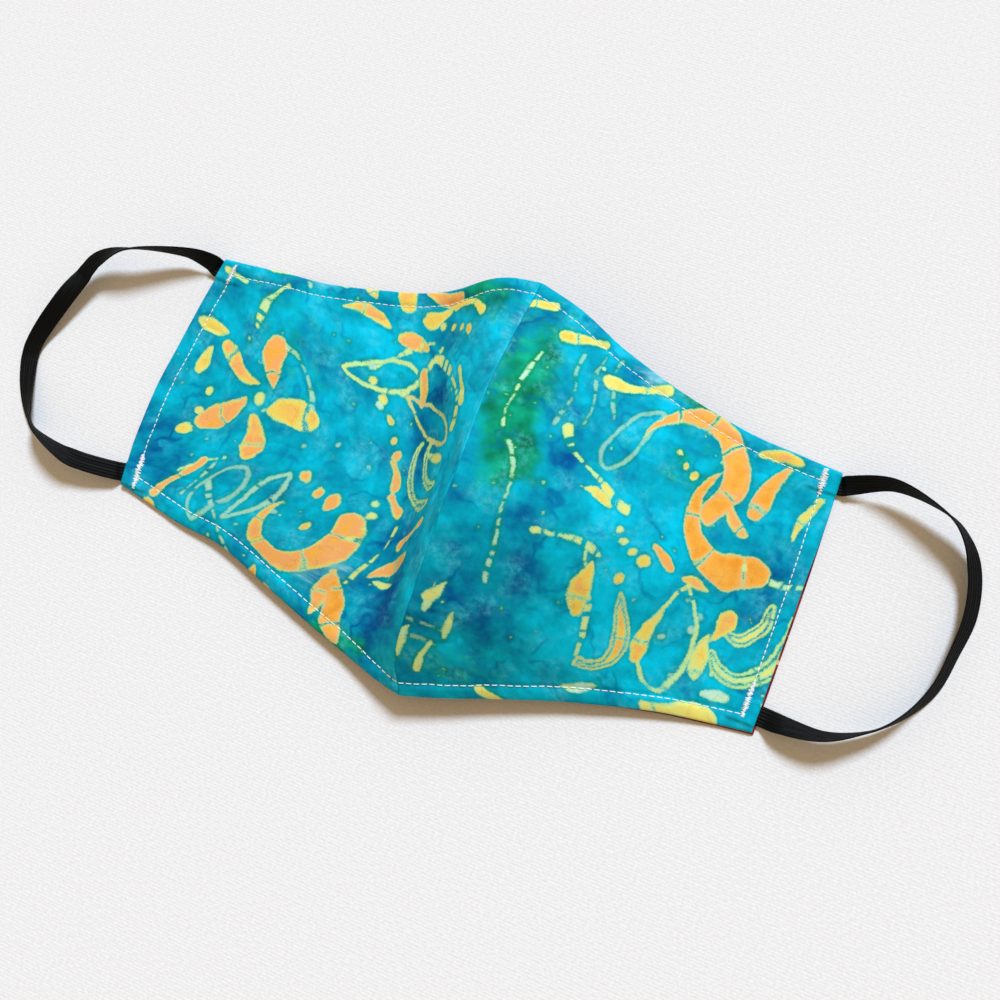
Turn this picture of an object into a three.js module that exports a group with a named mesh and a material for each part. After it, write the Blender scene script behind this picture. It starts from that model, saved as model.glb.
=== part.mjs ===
import * as THREE from 'three';

// A cloth face mask lying on a flat surface, in millimetres: +X along its width, +Y towards the nose, +Z up.
// Two shaped halves, each an outer panel over a lining, meet at a centre seam that stands up as a ridge.
// A flat elastic ear loop is sewn into the side hem of each half.

// Cloth and elastic
const clothThickness = 1;
const elasticWidth = 6.8;
const elasticThickness = 0.9;
const pieceGap = 0.3;

// Plan of the mask as it lies
const maskWidth = 237.5;
const sideHeight = 93;
const noseReach = 68;
const chinReach = 77;
const seamShift = 2.5;

// Height of the seam's highest point above the surface, measured under the lining
const ridgeHeight = 41;

// The side hem lies flat, and its thickness fades out over the blend
const hemWidth = 9;
const hemBlend = 7;

// Ear loops: how far they reach past the side edge, how high they rise, and how near the corner they are sewn
const leftLoopReach = 57.5;
const rightLoopReach = 52.5;
const loopLift = 7.2;
const cornerMargin = 1.1;
const lowerRightCornerMargin = 3;
const loopMouth = 0.8;

// Fineness of the mesh
const panelRows = 16;
const panelColumns = 24;
const rowSamples = 240;
const loopStep = 1.6;

// The centre seam from chin to nose. at: share of the seam. along: share of the way from chin to nose in plan.
// drift: sideways, as a share of the mask's width. lift: share of the ridge height.
const seamTable = [
  { at: 0, along: 0, drift: 0.019, lift: 0.18 },
  { at: 0.12, along: 0.1, drift: 0, lift: 0.47 },
  { at: 0.25, along: 0.22, drift: 0.004, lift: 0.72 },
  { at: 0.5, along: 0.478, drift: 0.008, lift: 1 },
  { at: 0.75, along: 0.745, drift: 0, lift: 0.885 },
  { at: 1, along: 1, drift: 0, lift: 0.565 },
];

// Sections across the left half, a row for each place along the seam. Each station has its place, as a share of
// the way from side edge to seam, and its height, as a share of the ridge height: the soft crest of the panel,
// the valley that has sunk in beside the ridge, its toe, and the shoulder of the steep slope up to the seam.
const leftSections = [
  { at: 0, crestAt: 0.4, crest: 0.045, valleyAt: 0.78, valley: 0.07, toeAt: 0.87, toe: 0.1,
    shoulderAt: 0.95, shoulder: 0.15 },
  { at: 0.25, crestAt: 0.45, crest: 0.15, valleyAt: 0.825, valley: 0.12, toeAt: 0.885, toe: 0.21,
    shoulderAt: 0.945, shoulder: 0.48 },
  { at: 0.5, crestAt: 0.45, crest: 0.19, valleyAt: 0.8, valley: 0.12, toeAt: 0.865, toe: 0.235,
    shoulderAt: 0.94, shoulder: 0.64 },
  { at: 0.75, crestAt: 0.42, crest: 0.16, valleyAt: 0.72, valley: 0.085, toeAt: 0.79, toe: 0.17,
    shoulderAt: 0.91, shoulder: 0.6 },
  { at: 1, crestAt: 0.38, crest: 0.06, valleyAt: 0.61, valley: 0.055, toeAt: 0.7, toe: 0.11,
    shoulderAt: 0.87, shoulder: 0.45 },
];

// Sections across the right half, which slopes evenly down from the seam: heights at three fixed places
const rightPlaces = { low: 0.3, middle: 0.55, high: 0.8 };
const rightSections = [
  { at: 0, low: 0.045, middle: 0.09, high: 0.14 },
  { at: 0.25, low: 0.17, middle: 0.41, high: 0.62 },
  { at: 0.5, low: 0.24, middle: 0.6, high: 0.88 },
  { at: 0.75, low: 0.2, middle: 0.5, high: 0.76 },
  { at: 1, low: 0.1, middle: 0.28, high: 0.46 },
];

// How far each side edge bows out between its corners, as a share of the side height. at: share of the way up.
const sideTable = [
  { at: 0, left: 0.012, right: 0.012 },
  { at: 0.2, left: 0.034, right: 0.014 },
  { at: 0.4, left: 0.05, right: 0.014 },
  { at: 0.6, left: 0.02, right: 0.012 },
  { at: 0.8, left: 0.008, right: 0.007 },
  { at: 1, left: 0, right: 0 },
];

// How far the lower and upper edges stand off a straight line from corner to seam, as shares of the side height:
// at the lower edge + is inwards, at the upper edge - is. at: share of the way from side edge to seam.
const leftEdges = [
  { at: 0, bottom: 0, top: 0 },
  { at: 0.2, bottom: 0.012, top: -0.024 },
  { at: 0.36, bottom: 0.042, top: -0.05 },
  { at: 0.55, bottom: 0.018, top: -0.036 },
  { at: 0.75, bottom: -0.005, top: -0.007 },
  { at: 0.9, bottom: -0.012, top: 0.018 },
  { at: 1, bottom: 0, top: 0 },
];
const rightEdges = [
  { at: 0, bottom: 0, top: 0 },
  { at: 0.12, bottom: 0.018, top: -0.018 },
  { at: 0.3, bottom: 0.04, top: -0.054 },
  { at: 0.5, bottom: 0.046, top: -0.065 },
  { at: 0.7, bottom: 0.031, top: -0.05 },
  { at: 0.9, bottom: 0.006, top: -0.004 },
  { at: 1, bottom: 0, top: 0 },
];

// Ear loops from the nose-side end to the chin-side end. out: share of the loop's reach. along: share of the
// sewn end's distance from the middle. lift: share of the loop lift. roll: turn of the flat elastic, in degrees,
// 0 where it lies flat and 90 where it stands on edge.
const leftLoop = [
  { out: 0.05, along: 1.015, lift: 0.15, roll: 50 },
  { out: 0.225, along: 1.01, lift: 0.42, roll: 85 },
  { out: 0.585, along: 0.835, lift: 1, roll: 119 },
  { out: 0.765, along: 0.68, lift: 0.95, roll: 169 },
  { out: 0.81, along: 0.57, lift: 0.85, roll: 173 },
  { out: 0.895, along: 0.205, lift: 0.55, roll: 209 },
  { out: 1, along: -0.245, lift: 0.08, roll: 184 },
  { out: 0.955, along: -0.49, lift: 0, roll: 172 },
  { out: 0.79, along: -0.835, lift: 0.06, roll: 131 },
  { out: 0.68, along: -0.935, lift: 0.38, roll: 91 },
  { out: 0.455, along: -1.03, lift: 0.62, roll: 47 },
  { out: 0.335, along: -1.05, lift: 0.7, roll: 12 },
  { out: 0.09, along: -1.015, lift: 0.35, roll: 4 },
];
const rightLoop = [
  { out: 0.05, along: 1.01, lift: 0.2, roll: 42 },
  { out: 0.31, along: 1.11, lift: 0.6, roll: 80 },
  { out: 0.675, along: 1.015, lift: 0.8, roll: 108 },
  { out: 0.82, along: 0.895, lift: 0.62, roll: 128 },
  { out: 0.935, along: 0.695, lift: 0.3, roll: 145 },
  { out: 1, along: 0.37, lift: 0.1, roll: 142 },
  { out: 0.98, along: 0.02, lift: 0, roll: 130 },
  { out: 0.94, along: -0.285, lift: 0, roll: 125 },
  { out: 0.84, along: -0.545, lift: 0.06, roll: 110 },
  { out: 0.72, along: -0.73, lift: 0.14, roll: 96 },
  { out: 0.635, along: -0.815, lift: 0.25, roll: 90 },
  { out: 0.4, along: -0.97, lift: 0.5, roll: 60 },
  { out: 0.155, along: -1.005, lift: 0.35, roll: 24 },
];

// The two halves: way is -1 for the half towards -X and 1 for the one towards +X
const halves = {
  left: {
    way: -1,
    sideBow: 'left',
    edges: leftEdges,
    sections: leftSections,
    stations: (row) => [
      [row.crestAt, row.crest],
      [row.valleyAt, row.valley],
      [row.toeAt, row.toe],
      [row.shoulderAt, row.shoulder],
    ],
    loop: leftLoop,
    reach: leftLoopReach,
    lowerMargin: cornerMargin,
  },
  right: {
    way: 1,
    sideBow: 'right',
    edges: rightEdges,
    sections: rightSections,
    stations: (row) => [
      [rightPlaces.low, row.low],
      [rightPlaces.middle, row.middle],
      [rightPlaces.high, row.high],
    ],
    loop: rightLoop,
    reach: rightLoopReach,
    lowerMargin: lowerRightCornerMargin,
  },
};

// A smooth curve through [place, value] pairs that never overshoots them
function curveThrough(pairs) {
  const last = pairs.length - 1;
  const rises = pairs.slice(1).map(([place, value], i) => (value - pairs[i][1]) / (place - pairs[i][0]));
  const slopes = pairs.map((pair, i) => {
    if (i === 0) {
      return rises[0];
    }
    if (i === last) {
      return rises[last - 1];
    }
    const before = rises[i - 1];
    const after = rises[i];
    return before * after <= 0 ? 0 : (2 * before * after) / (before + after);
  });
  return (place) => {
    const next = pairs.findIndex((pair) => pair[0] >= place);
    const i = next < 0 ? last - 1 : Math.max(next - 1, 0);
    const width = pairs[i + 1][0] - pairs[i][0];
    const t = THREE.MathUtils.clamp((place - pairs[i][0]) / width, 0, 1);
    const startWeight = (1 + 2 * t) * (1 - t) ** 2;
    const endWeight = (3 - 2 * t) * t ** 2;
    const startSlope = t * (1 - t) ** 2 * width * slopes[i];
    const endSlope = t ** 2 * (t - 1) * width * slopes[i + 1];
    return startWeight * pairs[i][1] + endWeight * pairs[i + 1][1] + startSlope + endSlope;
  };
}

// One column of a table as a curve over its first column
function columnCurve(table, name) {
  return curveThrough(table.map((row) => [row.at, row[name]]));
}

// A table row at any place between the written ones
function rowAt(table, at) {
  const names = Object.keys(table[0]);
  return Object.fromEntries(names.map((name) => [name, columnCurve(table, name)(at)]));
}

// Point on the centre seam, on the underside of the lining
function seamPoint(at) {
  const row = rowAt(seamTable, at);
  return new THREE.Vector3(
    seamShift + row.drift * maskWidth,
    -chinReach + row.along * (chinReach + noseReach),
    row.lift * ridgeHeight,
  );
}

// Point on a side edge
function sidePoint(half, at) {
  const bow = columnCurve(sideTable, half.sideBow)(at) * sideHeight;
  return new THREE.Vector3(half.way * (maskWidth / 2 + bow), (at - 0.5) * sideHeight, 0);
}

// One row of points across a half, from the side edge to the seam, even along the cloth past the hem
function clothRow(half, at) {
  const side = sidePoint(half, at);
  const seam = seamPoint(at);
  const planWidth = Math.hypot(seam.x - side.x, seam.y - side.y);
  const stations = half.stations(rowAt(half.sections, at));
  const hemEnd = hemWidth / planWidth;
  const height = curveThrough([[0, 0], [hemEnd, 0], ...stations, [1, seam.z / ridgeHeight]]);
  const lowerEdge = columnCurve(half.edges, 'bottom');
  const upperEdge = columnCurve(half.edges, 'top');
  const point = (share) => {
    const curveIn = THREE.MathUtils.lerp(lowerEdge(share), upperEdge(share), at) * sideHeight;
    return new THREE.Vector3(
      THREE.MathUtils.lerp(side.x, seam.x, share),
      THREE.MathUtils.lerp(side.y, seam.y, share) + curveIn,
      height(share) * ridgeHeight,
    );
  };
  const samples = Array.from({ length: rowSamples + 1 }, (_, i) => point(i / rowSamples));
  const lengths = [0];
  for (let i = 1; i <= rowSamples; i += 1) {
    lengths.push(lengths[i - 1] + samples[i].distanceTo(samples[i - 1]));
  }
  const whole = lengths[rowSamples];
  const shareAtLength = curveThrough(lengths.map((length, i) => [length, i / rowSamples]));
  const free = hemWidth + hemBlend;
  const places = [0, hemWidth / 2, hemWidth, hemWidth + hemBlend / 2];
  for (let i = 0; i <= panelColumns; i += 1) {
    places.push(free + ((whole - free) * i) / panelColumns);
  }
  return places.map((length) => ({ length, point: point(shareAtLength(length)) }));
}

// The underside of a half as rows of points, chin to nose, each with the direction the cloth faces
function clothGrid(half) {
  const rows = Array.from({ length: panelRows + 1 }, (_, j) => clothRow(half, j / panelRows));
  const lastColumn = rows[0].length - 1;
  rows.forEach((row, j) => {
    row.forEach((knot, i) => {
      const across = row[Math.min(i + 1, lastColumn)].point.clone().sub(row[Math.max(i - 1, 0)].point);
      const above = rows[Math.min(j + 1, panelRows)][i].point;
      const below = rows[Math.max(j - 1, 0)][i].point;
      const facing = across.cross(above.clone().sub(below)).normalize();
      knot.facing = facing.multiplyScalar(Math.sign(facing.z));
    });
  });
  return rows;
}

const grids = { left: clothGrid(halves.left), right: clothGrid(halves.right) };

// Where a point of a half lies at a height above the lining's underside. Along the seam both halves are cut on
// the plane between them, less half the gap that keeps them apart.
function risenPoint(side, j, i, rise) {
  const knot = grids[side][j][i];
  if (i < grids[side][j].length - 1) {
    return knot.point.clone().addScaledVector(knot.facing, rise);
  }
  const otherSide = side === 'left' ? 'right' : 'left';
  const other = grids[otherSide][j][i];
  const mitre = knot.facing.clone().add(other.facing).normalize();
  const apart = new THREE.Vector3(halves[side].way, 0, 0);
  apart.addScaledVector(mitre, -apart.dot(mitre)).normalize();
  return knot.point.clone()
    .addScaledVector(mitre, rise / mitre.dot(knot.facing))
    .addScaledVector(apart, pieceGap / 2);
}

// Space between the two layers: room for the elastic in the side hem, and a plain gap past it
function layerGap(length) {
  const fade = THREE.MathUtils.smoothstep(length, hemWidth, hemWidth + hemBlend);
  return pieceGap + (elasticThickness + pieceGap) * (1 - fade);
}

function closedGeometry(points, triangles) {
  const geometry = new THREE.BufferGeometry();
  const positions = points.flatMap((point) => [point.x, point.y, point.z]);
  geometry.setAttribute('position', new THREE.Float32BufferAttribute(positions, 3));
  geometry.setIndex(triangles.flat());
  geometry.computeVertexNormals();
  return geometry;
}

// One layer of cloth of a half, between two heights that may change with the distance from the side edge
function layerGeometry(side, lowRise, highRise) {
  const grid = grids[side];
  const columns = grid[0].length;
  const count = grid.length * columns;
  const layer = (rise) => grid.flatMap((row, j) => row.map((knot, i) => risenPoint(side, j, i, rise(knot.length))));
  const points = [...layer(lowRise), ...layer(highRise)];
  const triangles = [];
  const quad = (a, b, c, d) => triangles.push([a, b, c], [a, c, d]);
  for (let j = 0; j < grid.length - 1; j += 1) {
    for (let i = 0; i < columns - 1; i += 1) {
      const corner = j * columns + i;
      quad(corner, corner + columns, corner + columns + 1, corner + 1);
      quad(count + corner, count + corner + 1, count + corner + columns + 1, count + corner + columns);
    }
  }
  const rim = [];
  for (let i = 0; i < columns - 1; i += 1) {
    rim.push(i);
  }
  for (let j = 0; j < grid.length - 1; j += 1) {
    rim.push(j * columns + columns - 1);
  }
  for (let i = columns - 1; i > 0; i -= 1) {
    rim.push((grid.length - 1) * columns + i);
  }
  for (let j = grid.length - 1; j > 0; j -= 1) {
    rim.push(j * columns);
  }
  rim.forEach((from, k) => {
    const to = rim[(k + 1) % rim.length];
    quad(from, to, count + to, count + from);
  });
  const facingOut = halves[side].way < 0 ? triangles : triangles.map(([a, b, c]) => [a, c, b]);
  return closedGeometry(points, facingOut);
}

// The route of an ear loop: plan points, the height of the elastic's lower edge and its roll
function loopRoute(half) {
  const inset = elasticWidth / 2 + cornerMargin;
  const lowerInset = elasticWidth / 2 + half.lowerMargin;
  const hemLevel = clothThickness + pieceGap;
  const tuck = hemWidth - 2 * pieceGap;
  const sewnEnd = (y) => {
    const edge = sidePoint(half, y / sideHeight + 0.5).x;
    return [-tuck, -tuck / 3, loopMouth].map((out) => (
      { x: edge + half.way * out, y, low: hemLevel, roll: 0 }
    ));
  };
  const upperY = sideHeight / 2 - inset;
  const lowerY = sideHeight / 2 - lowerInset;
  const free = half.loop.map((row) => ({
    x: half.way * (maskWidth / 2 + row.out * half.reach),
    y: row.along * (row.along > 0 ? upperY : lowerY),
    low: pieceGap + row.lift * loopLift,
    roll: row.roll,
  }));
  return [...sewnEnd(upperY), ...free, ...sewnEnd(-lowerY).reverse()];
}

function loopGeometry(half) {
  const route = loopRoute(half);
  const plan = new THREE.CatmullRomCurve3(
    route.map((stop) => new THREE.Vector3(stop.x, stop.y, 0)),
    false,
    'centripetal',
  );
  const low = curveThrough(route.map((stop, i) => [i, stop.low]));
  const roll = curveThrough(route.map((stop, i) => [i, THREE.MathUtils.degToRad(stop.roll)]));
  const places = [];
  for (let i = 0; i < route.length - 1; i += 1) {
    const span = Math.hypot(route[i + 1].x - route[i].x, route[i + 1].y - route[i].y);
    const steps = Math.ceil(span / loopStep);
    for (let k = 0; k < steps; k += 1) {
      places.push(i + k / steps);
    }
  }
  places.push(route.length - 1);
  const last = places.length - 1;
  const centres = places.map((place) => {
    const turn = roll(place);
    const centre = plan.getPoint(place / (route.length - 1));
    const edgeOn = (elasticWidth / 2) * Math.abs(Math.sin(turn));
    const flat = (elasticThickness / 2) * Math.abs(Math.cos(turn));
    centre.z = low(place) + edgeOn + flat;
    return { centre, turn };
  });
  const points = [];
  const triangles = [];
  const quad = (a, b, c, d) => triangles.push([a, b, c], [a, c, d]);
  centres.forEach(({ centre, turn }, k) => {
    const ahead = centres[Math.min(k + 1, last)].centre;
    const behind = centres[Math.max(k - 1, 0)].centre;
    const forward = ahead.clone().sub(behind).normalize();
    const outward = new THREE.Vector3(-half.way * forward.y, half.way * forward.x, 0).normalize();
    const across = outward.multiplyScalar(Math.cos(turn)).add(new THREE.Vector3(0, 0, Math.sin(turn)));
    across.addScaledVector(forward, -across.dot(forward)).normalize();
    const through = forward.clone().cross(across);
    [[1, 1], [-1, 1], [-1, -1], [1, -1]].forEach(([u, w]) => {
      points.push(centre.clone()
        .addScaledVector(across, (u * elasticWidth) / 2)
        .addScaledVector(through, (w * elasticThickness) / 2));
    });
    if (k < last) {
      for (let c = 0; c < 4; c += 1) {
        const next = (c + 1) % 4;
        quad(4 * k + c, 4 * k + next, 4 * k + 4 + next, 4 * k + 4 + c);
      }
    }
  });
  quad(3, 2, 1, 0);
  const end = 4 * last;
  quad(end, end + 1, end + 2, end + 3);
  return closedGeometry(points, triangles);
}

const printedCotton = new THREE.MeshStandardMaterial({ color: 0x1198b8, roughness: 0.85, metalness: 0 });
const liningCotton = new THREE.MeshStandardMaterial({ color: 0x8a2a33, roughness: 0.88, metalness: 0 });
const blackElastic = new THREE.MeshStandardMaterial({ color: 0x131415, roughness: 0.75, metalness: 0 });

const mask = new THREE.Group();

function addPiece(name, geometry, material) {
  const mesh = new THREE.Mesh(geometry, material);
  mesh.name = name;
  mask.add(mesh);
}

Object.entries(halves).forEach(([side, half]) => {
  const liningTop = () => clothThickness;
  const outerBottom = (length) => clothThickness + layerGap(length);
  const outerTop = (length) => outerBottom(length) + clothThickness;
  addPiece(`lining_${side}`, layerGeometry(side, () => 0, liningTop), liningCotton);
  addPiece(`outer_panel_${side}`, layerGeometry(side, outerBottom, outerTop), printedCotton);
  addPiece(`ear_loop_${side}`, loopGeometry(half), blackElastic);
});

// The origin is the middle of the mask's footprint, on the surface that it lies on
const box = new THREE.Box3().setFromObject(mask);
const middle = box.getCenter(new THREE.Vector3());
mask.position.set(-middle.x, -middle.y, -box.min.z);
mask.updateMatrixWorld(true);

export default mask;
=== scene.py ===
import math
import bpy
import numpy as np
from mathutils import Matrix, Vector
from mathutils.kdtree import KDTree


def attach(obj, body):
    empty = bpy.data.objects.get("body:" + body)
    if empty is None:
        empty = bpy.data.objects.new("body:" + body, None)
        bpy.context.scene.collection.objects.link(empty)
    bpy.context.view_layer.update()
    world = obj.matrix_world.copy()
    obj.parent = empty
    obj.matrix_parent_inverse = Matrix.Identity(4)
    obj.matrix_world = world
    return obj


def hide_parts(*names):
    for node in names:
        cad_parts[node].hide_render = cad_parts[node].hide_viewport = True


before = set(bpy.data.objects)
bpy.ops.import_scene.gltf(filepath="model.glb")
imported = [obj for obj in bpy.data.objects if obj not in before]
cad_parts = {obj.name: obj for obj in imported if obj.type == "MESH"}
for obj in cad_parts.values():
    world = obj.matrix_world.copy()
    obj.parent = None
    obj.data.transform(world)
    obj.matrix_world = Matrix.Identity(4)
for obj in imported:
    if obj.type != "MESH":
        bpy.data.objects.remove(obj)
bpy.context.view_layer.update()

mm = 0.001

# Camera
# It looks almost straight down on the mask, from a little towards the chin edge and the right side, and is
# turned so that the mask slants down to the right across the picture.
camera_place = Vector((83.2, -50.9, 376.2)) * mm
camera_aim = Vector((15.1, 2.0, 0)) * mm
camera_up = Vector((-0.371, 0.928, 0))
back = (camera_place - camera_aim).normalized()
right = camera_up.cross(back).normalized()
turn = Matrix((right, back.cross(right), back)).transposed().to_4x4()
camera = bpy.data.objects.new("camera", bpy.data.cameras.new("camera"))
camera.data.lens = 39.6
camera.data.sensor_width = 36
camera.matrix_world = Matrix.Translation(camera_place) @ turn
bpy.context.scene.collection.objects.link(camera)
bpy.context.scene.camera = camera

# Lining panels
# Two shaped panels of dark red batik cotton, joined at the centre seam and sewn to the outer panels along the
# free edges. They carry the mask's form: flat side hems, a ridge along the seam, a valley in the left half.
mask_middle = np.array([2.7, 4.84, 0]) * mm
mask_width = 237.5 * mm
side_height = 93 * mm
nose_reach = 68 * mm
chin_reach = 77 * mm
seam_shift = 2.5 * mm
ridge_height = 41 * mm
hem_width = 9 * mm
cloth_thickness = 0.9 * mm
stitch_inset = 5.6 * mm
stitch_dip = 0.3 * mm
stitch_trough = 0.75 * mm
edge_roll = 0.75 * mm
seam_gap = 0.05 * mm
seam_mitre = 8 * mm
pull_fade = 12 * mm
slow_wave = 0.5 * mm
quick_wave = 0.22 * mm
seam_pucker = 0.2 * mm
edge_pucker = 0.16 * mm
floor_clearance = 0.02 * mm
edge_steps = np.array([0, 0.1, 0.25, 0.45, 0.7, 1, 1.4, 1.9]) * mm
mean_height = 115 * mm
row_samples = 401
lining_rows = 108
lining_columns = 122
uv_span = 300 * mm
uv_seam_gap = 0.03


def table(names, *rows):
    """The columns of a table by name"""
    return dict(zip(names.split(), np.array(rows, float).T))


# The centre seam from chin to nose, and sections across each half, as shares of the sizes above
seam_table = table(
    "at along drift lift",
    (0, 0, 0.019, 0.18),
    (0.12, 0.1, 0, 0.47),
    (0.25, 0.22, 0.004, 0.72),
    (0.5, 0.478, 0.008, 1),
    (0.75, 0.745, 0, 0.885),
    (1, 1, 0, 0.565),
)
left_sections = table(
    "at crest_at crest valley_at valley toe_at toe shoulder_at shoulder",
    (0, 0.4, 0.045, 0.78, 0.07, 0.87, 0.1, 0.95, 0.15),
    (0.25, 0.45, 0.15, 0.825, 0.12, 0.885, 0.21, 0.945, 0.48),
    (0.5, 0.45, 0.19, 0.8, 0.12, 0.865, 0.235, 0.94, 0.64),
    (0.75, 0.42, 0.16, 0.72, 0.085, 0.79, 0.17, 0.91, 0.6),
    (1, 0.38, 0.06, 0.61, 0.055, 0.7, 0.11, 0.87, 0.45),
)
right_sections = table(
    "at low_at low middle_at middle high_at high",
    (0, 0.3, 0.045, 0.55, 0.09, 0.8, 0.14),
    (0.25, 0.3, 0.17, 0.55, 0.41, 0.8, 0.62),
    (0.5, 0.3, 0.24, 0.55, 0.6, 0.8, 0.88),
    (0.75, 0.3, 0.2, 0.55, 0.5, 0.8, 0.76),
    (1, 0.3, 0.1, 0.55, 0.28, 0.8, 0.46),
)
side_bows = table(
    "at left right",
    (0, 0.014, 0.012),
    (0.2, 0.043, 0.014),
    (0.4, 0.05, 0.014),
    (0.6, 0.037, 0.012),
    (0.8, 0.022, 0.007),
    (1, 0, 0),
)
left_edges = table(
    "at bottom top",
    (0, 0, 0),
    (0.2, 0.012, -0.024),
    (0.36, 0.042, -0.05),
    (0.55, 0.018, -0.036),
    (0.75, -0.005, -0.007),
    (0.9, -0.012, 0.018),
    (1, 0, 0),
)
right_edges = table(
    "at bottom top",
    (0, 0, 0),
    (0.12, 0.018, -0.018),
    (0.3, 0.04, -0.054),
    (0.5, 0.046, -0.065),
    (0.7, 0.031, -0.05),
    (0.9, 0.006, -0.004),
    (1, 0, 0),
)
halves = {
    "left": {"way": -1, "edges": left_edges, "sections": left_sections},
    "right": {"way": 1, "edges": right_edges, "sections": right_sections},
}


def curve_at(places, values, x):
    """A smooth curve that never overshoots its values, read at x. Each x may have a curve of its own."""
    x = np.asarray(x, float)
    count = len(places)
    places = np.broadcast_to(np.reshape(places, (count, -1)), (count, x.size))
    values = np.broadcast_to(np.reshape(values, (count, -1)), (count, x.size))
    widths = np.diff(places, axis=0)
    rises = np.diff(values, axis=0) / widths
    before, after = rises[:-1], rises[1:]
    turning = before * after <= 0
    inner = np.where(turning, 0, 2 * before * after / np.where(turning, 1, before + after))
    slopes = np.concatenate([rises[:1], inner, rises[-1:]])
    first = np.clip((places < x.ravel()).sum(axis=0) - 1, 0, count - 2)[None]

    def pick(columns, index):
        return np.take_along_axis(columns, index, 0)[0]

    width = pick(widths, first)
    t = np.clip((x.ravel() - pick(places, first)) / width, 0, 1)
    result = (1 + 2 * t) * (1 - t) ** 2 * pick(values, first) + (3 - 2 * t) * t ** 2 * pick(values, first + 1)
    result += t * (1 - t) ** 2 * width * pick(slopes, first)
    result += t ** 2 * (t - 1) * width * pick(slopes, first + 1)
    return result.reshape(x.shape)


def side_point(side, at):
    bow = curve_at(side_bows["at"], side_bows[side], at) * side_height
    return np.stack([halves[side]["way"] * (mask_width / 2 + bow), (at - 0.5) * side_height, 0 * at], -1)


def seam_point(at):
    row = {name: curve_at(seam_table["at"], column, at) for name, column in seam_table.items()}
    along = -chin_reach + row["along"] * (chin_reach + nose_reach)
    return np.stack([seam_shift + row["drift"] * mask_width, along, row["lift"] * ridge_height], -1)


def cloth_point(side, at, share):
    """Points on the underside of a half: at runs from chin to nose, share from the side edge to the seam"""
    half = halves[side]
    start, end = side_point(side, at), seam_point(at)
    run = end - start
    hem_end = hem_width / np.hypot(run[:, 0], run[:, 1])
    row = {name: curve_at(half["sections"]["at"], column, at) for name, column in half["sections"].items()}
    stations = [name for name in row if name + "_at" in row]
    places = [0 * at, hem_end, *(row[name + "_at"] for name in stations), 0 * at + 1]
    heights = [0 * at, 0 * at, *(row[name] for name in stations), end[:, 2] / ridge_height]
    lower, upper = (curve_at(half["edges"]["at"], half["edges"][name], share) for name in ("bottom", "top"))
    points = start + run * share[:, None]
    points[:, 1] += (lower + (upper - lower) * at) * side_height
    points[:, 2] = curve_at(np.stack(places), np.stack(heights), share) * ridge_height
    return points


def spaced(count, whole):
    """Places from 0 to whole that stand close together near both ends"""
    whole = np.asarray(whole, float)[..., None]
    inner = count - 2 * len(edge_steps)
    share = np.arange(1, inner + 1) / (inner + 1)
    middle = edge_steps[-1] + (whole - 2 * edge_steps[-1]) * share
    start = np.broadcast_to(edge_steps, (*whole.shape[:-1], len(edge_steps)))
    return np.concatenate([start, middle, whole - start[..., ::-1]], -1)


def smooth(x):
    """From 0 to 1 without corners as x goes from 0 to 1"""
    x = np.clip(x, 0, 1)
    return x * x * (3 - 2 * x)


def cloudy(x, y, size, seed):
    """Soft noise from -1 to 1, with blobs of a given size"""
    knots = np.random.default_rng(seed).uniform(-1, 1, (97, 97))
    x, y = (np.asarray(v, float) / size + 41.37 for v in (x, y))
    i, j = np.floor(x).astype(int), np.floor(y).astype(int)
    u, v = smooth(x - i), smooth(y - j)
    i, j = i % 96, j % 96
    low = knots[i, j] * (1 - u) + knots[i + 1, j] * u
    high = knots[i, j + 1] * (1 - u) + knots[i + 1, j + 1] * u
    return low * (1 - v) + high * v


def unit(vectors):
    """The same directions, each one long"""
    return vectors / np.linalg.norm(vectors, axis=-1, keepdims=True)


def lengths_along(line):
    """How far along a line each of its points lies"""
    return np.concatenate([[0], np.cumsum(np.linalg.norm(np.diff(line, axis=0), axis=1))])


def reach_of(points, line):
    """How far each point lies from a line, and how far along the line"""
    lengths = lengths_along(line)
    fine = np.arange(0, lengths[-1], 0.12 * mm)
    samples = np.stack([np.interp(fine, lengths, line[:, axis]) for axis in range(3)], -1)
    tree = KDTree(len(samples))
    for k, sample in enumerate(samples):
        tree.insert(sample, k)
    tree.balance()
    found = [tree.find(point) for point in points.reshape(-1, 3)]
    distance = np.array([hit[2] for hit in found]).reshape(points.shape[:-1])
    along = fine[[hit[1] for hit in found]].reshape(points.shape[:-1])
    return distance, along


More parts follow.
